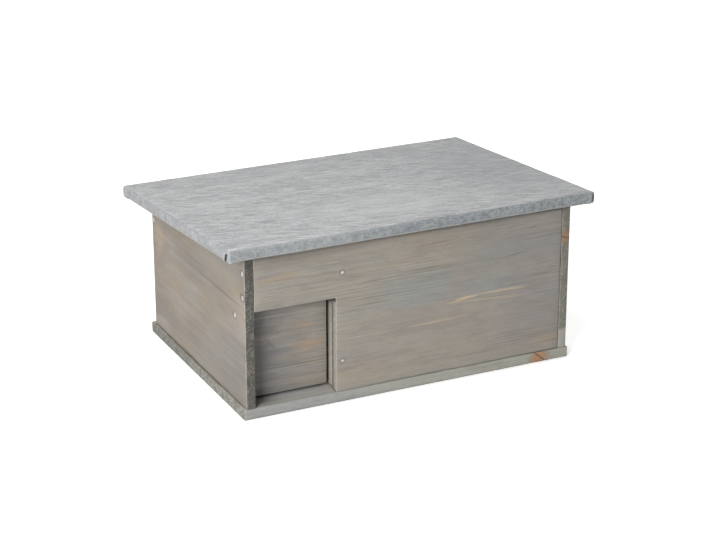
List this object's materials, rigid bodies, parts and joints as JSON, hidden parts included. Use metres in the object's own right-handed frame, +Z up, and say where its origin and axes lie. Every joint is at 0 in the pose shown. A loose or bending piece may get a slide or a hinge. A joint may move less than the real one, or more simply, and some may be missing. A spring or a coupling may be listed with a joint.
{
  "type": "hedgehog house",
  "caption": "Low wooden hedgehog house with a sloped, felt-covered roof hinged at the back and a swinging flap behind a square entrance in the front wall.",
  "frame": {"origin": "centre of the base board's underside, on the ground", "axes": "+Z up, the front with the entrance faces -Y, +X to the right seen from the front"},
  "size_m": [0.5, 0.3644, 0.2275],
  "materials": {
    "greywashed_pine": "matt grey-brown wash on sawn pine, grain showing through",
    "roofing_felt": "matt light grey fleece-faced roofing felt, fibrous",
    "zinc_screw": "bright zinc plating",
    "zinc_hinge": "zinc plating",
    "staple_wire": "galvanised wire"
  },
  "bodies": {
    "house": {"base_board": "greywashed_pine", "left_wall": "greywashed_pine", "right_wall": "greywashed_pine", "front_wall": "greywashed_pine", "back_wall": "greywashed_pine", "partition_wall": "greywashed_pine", "hinge_wall_leaf_left": "zinc_hinge", "hinge_wall_leaf_right": "zinc_hinge", "hinge_pin_left": "zinc_hinge", "hinge_pin_right": "zinc_hinge", "hinge_wall_screws": "zinc_screw", "front_wall_screws": "zinc_screw", "left_wall_front_screws": "zinc_screw", "left_wall_back_screw": "zinc_screw", "right_wall_front_screws": "zinc_screw", "right_wall_back_screw": "zinc_screw", "base_left_screws": "zinc_screw", "base_right_screws": "zinc_screw", "base_front_screws": "zinc_screw", "base_back_screws": "zinc_screw", "base_partition_screws": "zinc_screw"},
    "flap": {"entrance_flap": "greywashed_pine", "flap_pivot_screw_left": "zinc_screw", "flap_pivot_screw_right": "zinc_screw"},
    "roof": {"roof_board": "greywashed_pine", "roof_felt": "roofing_felt", "felt_staples": "staple_wire", "hinge_roof_leaf_left": "zinc_hinge", "hinge_roof_leaf_right": "zinc_hinge", "hinge_roof_screws": "zinc_screw"}
  },
  "joints": [
    {"name": "roof_hinge", "type": "hinge", "parent": "house", "child": "roof", "pos_m": [0, 0.1543, 0.18543], "axis": [-1, 0, 0], "range_deg": [0, 92]},
    {"name": "flap_swing", "type": "hinge", "parent": "house", "child": "flap", "pos_m": [-0.1585, -0.128, 0.127], "axis": [1, 0, 0], "range_deg": [-90, 90]}
  ]
}
